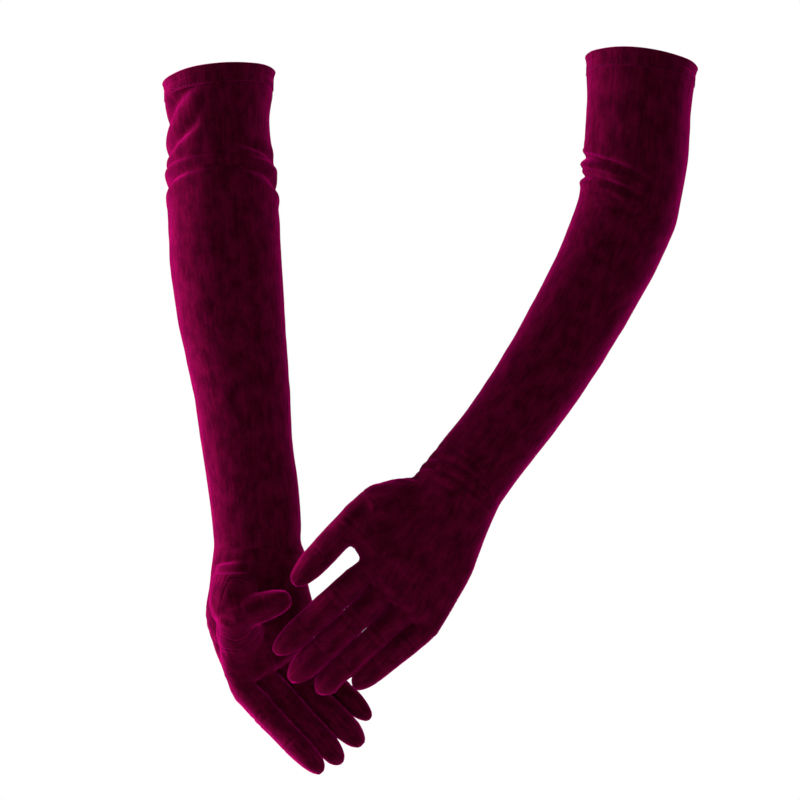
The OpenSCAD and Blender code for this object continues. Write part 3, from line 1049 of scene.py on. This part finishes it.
# %% The pile group
pile, pile_in, pile_out = new_group(
    "Velvet pile",
    [("Along cloth", "NodeSocketVector"), ("Brushed amount", "NodeSocketFloat"),
     ("Deep", "NodeSocketColor"), ("Raised", "NodeSocketColor")],
    [("Colour", "NodeSocketColor"), ("Roughness", "NodeSocketFloat"), ("Height", "NodeSocketFloat")])
grain = pile_in.outputs["Along cloth"]
brushed = ranged(pile, stretched_noise(pile, grain, (130, 75, 1), 5, 0.65), 0.30, 0.75, 0.0, 1.0)
streaks = ranged(pile, stretched_noise(pile, grain, (560, 45, 1), 3), 0.30, 0.75, 0.0, 1.0)
fibres = stretched_noise(pile, grain, (3600, 2200, 1), 2, 0.6)
blotch = weighted(pile, (brushed, 0.62), (streaks, 0.26), (fibres, 0.22))
share = math_node(pile, "MULTIPLY", blotch, pile_in.outputs["Brushed amount"])
mix = pile.nodes.new("ShaderNodeMix")
mix.data_type = "RGBA"
pile.links.new(share, mix.inputs["Factor"])
pile.links.new(pile_in.outputs["Deep"], mix.inputs["A"])
pile.links.new(pile_in.outputs["Raised"], mix.inputs["B"])
pile.links.new(mix.outputs["Result"], pile_out.inputs["Colour"])
pile.links.new(ranged(pile, blotch, 0.0, 1.0, 0.92, 0.68), pile_out.inputs["Roughness"])
height = weighted(pile, (fibres, 0.45), (brushed, 0.9), (streaks, 0.35))
pile.links.new(height, pile_out.inputs["Height"])
print("pile group has", len(pile.nodes), "nodes")


# %% [markdown]
# The tape, the thread and the knitted back use the same group with less sheen and a finer bump: they
# are dyed with the velvet but have little pile. None of them shines, so the mirror part is set to nothing.

# %% Velvet, lining, tape and thread
def cloth_material(name, deep, raised, brushed_amount, bump_mm, sheen, tint, sheen_roughness):
    material = bpy.data.materials.new(name)
    material.use_nodes = True
    tree = material.node_tree
    shader = tree.nodes["Principled BSDF"]
    for label, value in (("Sheen Weight", sheen), ("Sheen Tint", (*tint, 1)),
                         ("Sheen Roughness", sheen_roughness), ("Specular IOR Level", 0.0)):
        shader.inputs[label].default_value = value
    place = tree.nodes.new("ShaderNodeUVMap")
    place.uv_map = "Grain"
    group = tree.nodes.new("ShaderNodeGroup")
    group.node_tree = pile
    for label, value in (("Brushed amount", brushed_amount), ("Deep", (*deep, 1)), ("Raised", (*raised, 1))):
        group.inputs[label].default_value = value
    tree.links.new(place.outputs["UV"], group.inputs["Along cloth"])
    bump = tree.nodes.new("ShaderNodeBump")
    bump.inputs["Strength"].default_value = 0.8
    bump.inputs["Distance"].default_value = bump_mm / 1000
    for source, target in ((group.outputs["Height"], bump.inputs["Height"]),
                           (group.outputs["Colour"], shader.inputs["Base Color"]),
                           (group.outputs["Roughness"], shader.inputs["Roughness"]),
                           (bump.outputs["Normal"], shader.inputs["Normal"])):
        tree.links.new(source, target)
    return material


WINE_DEEP = (0.014, 0.0003, 0.0026)
WINE_RAISED = (0.105, 0.0012, 0.022)
velvet = cloth_material("Wine velvet", WINE_DEEP, WINE_RAISED, 0.8, 0.34, 1.0, (0.76, 0.002, 0.25), 0.34)
lining = cloth_material("Velvet back", (0.05, 0.002, 0.012), (0.11, 0.004, 0.030), 0.8, 0.12,
                        0.25, (0.6, 0.02, 0.2), 0.5)
tape = cloth_material("Hem tape", (0.03, 0.001, 0.008), (0.09, 0.003, 0.022), 0.9, 0.20,
                      0.15, (0.6, 0.05, 0.2), 0.5)
thread = cloth_material("Wine thread", (0.02, 0.001, 0.005), (0.10, 0.003, 0.028), 0.9, 0.08,
                        0.4, (0.7, 0.05, 0.3), 0.4)
print("materials:", velvet.name, lining.name, tape.name, thread.name)

# %% [markdown]
# ## Thickness
# Solidify gives every panel its thickness inward and paints the inside with the knitted back.

# %% Give each panel its thickness
SMOOTH_BELOW = math.radians(55)
for made, _ in velvet_pieces.values():
    made.data.materials.append(velvet)
    made.data.materials.append(lining)
    apply_modifier(made, "SOLIDIFY", thickness=CLOTH, offset=-1, material_offset=1, material_offset_rim=0)
    bpy.ops.object.shade_smooth_by_angle(angle=SMOOTH_BELOW)
print("thickest panel mesh:", max(len(made.data.polygons) for made, _ in velvet_pieces.values()), "faces")

# %% [markdown]
# ## The hem
# The top edge is folded down over an elastic tape and stitched through. The tape pulls the fold in a
# little below its lip, so the lip stands out. A path drawn once up the outside, over the lip and down
# the inside is turned round the opening, and slow waves in it keep the lip from being a machined ring.

# %% Shape of the fold
FLARE = 0.0016
LIP = 0.0028
TURNS = 288


def hem_path(inner, outer, depth):
    """Radius and height of the middle of the cloth, from the outside of the fold to the inside."""
    flare = lambda z: FLARE * math.exp(z / LIP)
    groove = lambda z, at: -0.00045 * math.exp(-((z - at) / 0.0007) ** 2)
    down = [(outer + flare(z) + groove(z, -0.0052) + groove(z, -depth + 0.0011), z)
            for z in np.linspace(-depth - 0.0004, -0.0008, 30)]
    middle_r = (outer + inner) / 2 + FLARE
    half = (outer - inner) / 2
    over = [(middle_r + half * math.cos(t), -0.0008 + 0.0009 * math.sin(t))
            for t in np.radians([25, 60, 90, 120, 155])]
    back = [(inner + flare(z), z) for z in np.linspace(-0.0010, -depth + 0.0006, 18)]
    return np.array(down + over + back)


def turned_band(name, side, path, thickness):
    place, up, across, third = hem_frame(side)
    along = np.gradient(path, axis=0)
    along /= np.linalg.norm(along, axis=1)[:, None]
    outward = np.stack([along[:, 1], -along[:, 0]], axis=1)
    loop = np.concatenate([path + outward * thickness / 2, (path - outward * thickness / 2)[::-1]])
    points = []
    for turn in np.linspace(0, 2 * math.pi, TURNS, endpoint=False):
        spot = Vector((math.cos(turn), math.sin(turn), 0)) * 1.6
        wave = 0.00035 * noise.noise(spot + Vector((3, 1, 0 if side == "right" else 9)))
        gather = 0.00014 * noise.noise(spot * 9) + 0.00010 * noise.noise(spot * 24)
        lift = 0.0005 * noise.noise(spot + Vector((0, 5, 2)))
        share = np.clip(1 + loop[:, 1] / 0.012, 0, 1)
        radius = loop[:, 0] + wave * (0.4 + share) + gather * (1 - 0.5 * share)
        slant = (SLANT[side][0] * math.cos(turn) + SLANT[side][1] * math.sin(turn)) * radius
        height = loop[:, 1] + lift * share + slant
        out = across * math.cos(turn) + third * math.sin(turn)
        points.append(place + radius[:, None] * out + height[:, None] * up)
    count = len(loop)
    faces = [(i * count + j, i * count + (j + 1) % count, ((i + 1) % TURNS) * count + (j + 1) % count,
              ((i + 1) % TURNS) * count + j) for i in range(TURNS) for j in range(count)]
    made = new_object(name, np.concatenate(points), faces)
    face_outward(made)
    layer = made.data.uv_layers.new(name="Grain")
    lengths = np.concatenate([[0], np.cumsum(np.linalg.norm(np.diff(loop, axis=0), axis=1))])
    for face in made.data.polygons:
        ring = face.index // count
        step = face.index % count
        for loop_index in face.loop_indices:
            vertex = made.data.loops[loop_index].vertex_index
            i, j = divmod(vertex, count)
            i = i + TURNS if ring == TURNS - 1 and i == 0 else i
            j_along = lengths[j] if not (step == count - 1 and j == 0) else lengths[-1] + thickness
            layer.data[loop_index].uv = (i / TURNS * 0.245, j_along)
    return made


hem_pieces = {}
for side in SIDES:
    mount = mounts[f"{side}_arm_opening"]
    depth = mount["dims"]["length_mm"] / 1000
    hole = mount["dims"]["r_mm"] / 1000
    low, high = (np.array(corner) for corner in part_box("right_hem_band"))
    outer = (high[0] - low[0]) / 2
    path = hem_path(hole + CLOTH / 2, outer - CLOTH / 2, depth)
    band = turned_band(f"{side}_hem_fold", side, path, CLOTH)
    band.data.materials.append(velvet)
    select_only(band)
    bpy.ops.object.shade_smooth_by_angle(angle=SMOOTH_BELOW)
    hem_pieces[side] = [band]
    print(side, "hem fold:", round(2000 * outer, 1), "mm across,", len(band.data.polygons), "faces")

# %% [markdown]
# The tape inside the fold is a woven elastic strip on edge. The stitches are short lengths of thread that
# lie in the groove they pull into the fold; one is modelled and copied round the opening.

# %% Set small parts round the opening
def turn_to(side, points):
    place, up, across, third = hem_frame(side)
    height = points[:, 2] + SLANT[side][0] * points[:, 0] + SLANT[side][1] * points[:, 1]
    return place + points[:, :1] * across + points[:, 1:2] * third + height[:, None] * up


def grain_by_object(made):
    layer = made.data.uv_layers.get("Grain") or made.data.uv_layers.new(name="Grain")
    for loop in made.data.loops:
        x, y, z = made.data.vertices[loop.vertex_index].co
        layer.data[loop.index].uv = (math.hypot(x, y), z)


def ring_box(node):
    """Outer radius, lowest and highest point of a ring round the right arm's opening."""
    low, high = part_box(node)
    return (high[0] - low[0]) / 2, low[2], high[2]


# %% Lay the elastic tape
tape_outer, tape_low, tape_high = ring_box("right_hem_elastic")
TAPE_THICKNESS = 0.0008
TAPE_STEPS = 6
for side in SIDES:
    bpy.ops.object.select_all(action="DESELECT")
    bpy.ops.mesh.primitive_circle_add(vertices=160, radius=tape_outer - TAPE_THICKNESS, location=(0, 0, 0))
    strip = bpy.context.active_object
    strip.name = f"{side}_hem_tape"
    bpy.ops.object.mode_set(mode="EDIT")
    bpy.ops.mesh.select_all(action="SELECT")
    bpy.ops.transform.translate(value=(0, 0, tape_low))
    for _ in range(TAPE_STEPS):
        rise = (tape_high - tape_low) / TAPE_STEPS
        bpy.ops.mesh.extrude_region_move(TRANSFORM_OT_translate={"value": (0, 0, rise)})
    bpy.ops.mesh.select_all(action="SELECT")
    bpy.ops.mesh.normals_make_consistent(inside=False)
    bpy.ops.object.mode_set(mode="OBJECT")
    apply_modifier(strip, "SOLIDIFY", thickness=TAPE_THICKNESS, offset=1)
    grain_by_object(strip)
    set_points(strip, turn_to(side, points_of(strip)))
    strip.data.materials.append(tape)
    bpy.ops.object.shade_smooth_by_angle(angle=math.radians(40))
    hem_pieces[side].append(strip)
    print(side, "tape:", len(strip.data.polygons), "faces")

# %% [markdown]
# One stitch is a ball of thread drawn out to a short length. Its copies are turned round the opening, set
# on the hem's slant and joined, because a row of stitches is one thread.

# %% Sew the hem
STITCH = 0.0026
STITCH_PITCH = 0.0032
THREAD_RADIUS = 0.00028
stitch_radius, stitch_low, stitch_high = ring_box("right_hem_stitching")
stitch_radius -= 0.0008
stitch_height = (stitch_low + stitch_high) / 2
for side in SIDES:
    bpy.ops.object.select_all(action="DESELECT")
    bpy.ops.mesh.primitive_uv_sphere_add(segments=8, ring_count=6, radius=THREAD_RADIUS, location=(0, 0, 0))
    stitch = bpy.context.active_object
    bpy.ops.object.mode_set(mode="EDIT")
    bpy.ops.mesh.select_all(action="SELECT")
    bpy.ops.transform.resize(value=(1, STITCH / (2 * THREAD_RADIUS), 1))
    bpy.ops.object.mode_set(mode="OBJECT")
    grain_by_object(stitch)
    one = points_of(stitch)
    count = round(2 * math.pi * stitch_radius / STITCH_PITCH)
    copies = []
    for number in range(count):
        turn = 2 * math.pi * number / count
        spin = np.array([[math.cos(turn), math.sin(turn), 0], [-math.sin(turn), math.cos(turn), 0], [0, 0, 1]])
        copy = stitch.copy()
        copy.data = stitch.data.copy()
        bpy.context.scene.collection.objects.link(copy)
        set_points(copy, turn_to(side, (one + np.array([stitch_radius, 0, stitch_height])) @ spin))
        copies.append(copy)
    bpy.data.objects.remove(stitch)
    select_only(*copies)
    bpy.ops.object.join()
    row = bpy.context.active_object
    row.name = f"{side}_hem_stitches"
    row.data.materials.append(thread)
    bpy.ops.object.shade_smooth()
    hem_pieces[side].append(row)
    print(side, "hem has", count, "stitches")

# %% [markdown]
# ## Bodies
# The hem and the top of the sleeve ride on the upper arm. The rest of the cloth is baked where it
# lies and rides on no body.

# %% Where the cloth is baked and how it was cut
STRETCH = 1.10
NARROWEST = 0.0105
LEAST_FULL = 0.35
FULLEST = 0.97


def bend(made):
    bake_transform(made)


def declare_cloth(size, area):
    """The panel as it was cut: smaller across than now, because the arm stretches it."""
    flat = area / STRETCH
    width, length = max(size[0] / STRETCH, NARROWEST), max(size[1], NARROWEST)
    fullness = flat / (width * length)
    if fullness < LEAST_FULL:
        length = max(flat / (LEAST_FULL * width), NARROWEST)
    if fullness > FULLEST:
        width, length = (value * math.sqrt(fullness / FULLEST) for value in (width, length))
    return width, length, flat


# %% [markdown]
# Each panel stands for its own node in the imported model, which is hidden, and its size as a sheet
# that the arm holds stretched is printed. The hem's fold, tape and stitches ride on the upper arm.

# %% Hide each node, size each panel and attach what rides on the upper arm
for (side, name), (made, size) in velvet_pieces.items():
    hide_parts(f"{side}_{name}")
    both_faces = sum(face.area for face in made.data.polygons)
    sheet = declare_cloth(size, both_faces / 2)
    digit = name.split("_")[0]
    if name.startswith("upper_sleeve"):
        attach(made, f"{side}_upper_sleeve")
    elif name.startswith("forearm"):
        bend(made)
    elif name in ("palm", "hand_back", "thumb_gusset"):
        bend(made)
    elif digit == "thumb":
        bend(made)
    else:
        bend(made)
    print(made.name, "cut", *(round(1000 * x) for x in sheet[:2]), "mm,", round(10000 * sheet[2]), "cm2")

for side in SIDES:
    for piece, node, material_slot in zip(hem_pieces[side], ("hem_band", "hem_elastic", "hem_stitching"),
                                          ("velvet", "hem_tape", "thread")):
        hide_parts(f"{side}_{node}")
        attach(piece, f"{side}_upper_sleeve")

# %% [markdown]
# ## Floor and light
# A plain pale floor well below the gloves, a pale room, and large soft lamps. The strong lamp stands to
# the left and a little behind, so that it rakes across the pile and makes the left edges glow. A weaker
# one behind on the right picks out the other edge, and a large dim one in front fills the folds.

# %% Floor
bpy.ops.object.select_all(action="DESELECT")
FLOOR_DROP = 0.16
bpy.ops.mesh.primitive_circle_add(vertices=96, radius=0.60, fill_type="NGON",
                                  location=(middle[0], middle[1], float(cad_box[0][2]) - FLOOR_DROP))
floor = bpy.context.active_object
floor.name = "floor"
paint = bpy.data.materials.new("Pale floor")
paint.use_nodes = True
paint_shader = paint.node_tree.nodes["Principled BSDF"]
paint_shader.inputs["Base Color"].default_value = (0.88, 0.88, 0.88, 1)
paint_shader.inputs["Roughness"].default_value = 0.9
floor.data.materials.append(paint)
print("floor at", round(floor.location.z, 3), "m")

# %% Lights
def soft_lamp(name, offset, size, power):
    data = bpy.data.lights.new(name, "AREA")
    data.shape = "RECTANGLE"
    data.size, data.size_y = size
    data.energy = power
    lamp = bpy.data.objects.new(name, data)
    bpy.context.scene.collection.objects.link(lamp)
    lamp.location = look_at + Vector(offset)
    lamp.rotation_euler = (look_at - lamp.location).to_track_quat("-Z", "Y").to_euler()


soft_lamp("left lamp", (-1.5, 0.30, 0.15), (0.7, 1.6), 130)
soft_lamp("right lamp", (1.5, 0.9, 0.3), (0.6, 1.4), 30)
soft_lamp("front fill", (-0.5, -2.2, 0.9), (1.8, 1.8), 12)

# %% [markdown]
# The room is white where it is looked at and dim where it lights the cloth, so the deep folds stay dark.

# %% Room
room = bpy.data.worlds.new("pale room")
room.use_nodes = True
room_tree = room.node_tree
backdrop = room_tree.nodes["Background"]
backdrop.inputs["Color"].default_value = (1, 1, 1, 1)
seen = room_tree.nodes.new("ShaderNodeLightPath")
strength = room_tree.nodes.new("ShaderNodeMapRange")
strength.inputs["To Min"].default_value = 0.30
strength.inputs["To Max"].default_value = 1.0
room_tree.links.new(seen.outputs["Is Camera Ray"], strength.inputs["Value"])
room_tree.links.new(strength.outputs["Result"], backdrop.inputs["Strength"])
print("room", room.name, "lights at", round(strength.inputs["To Min"].default_value, 2))
bpy.context.scene.world = room
bpy.context.scene.view_settings.view_transform = "Standard"
print("lamps set round", np.round(look_at, 3))
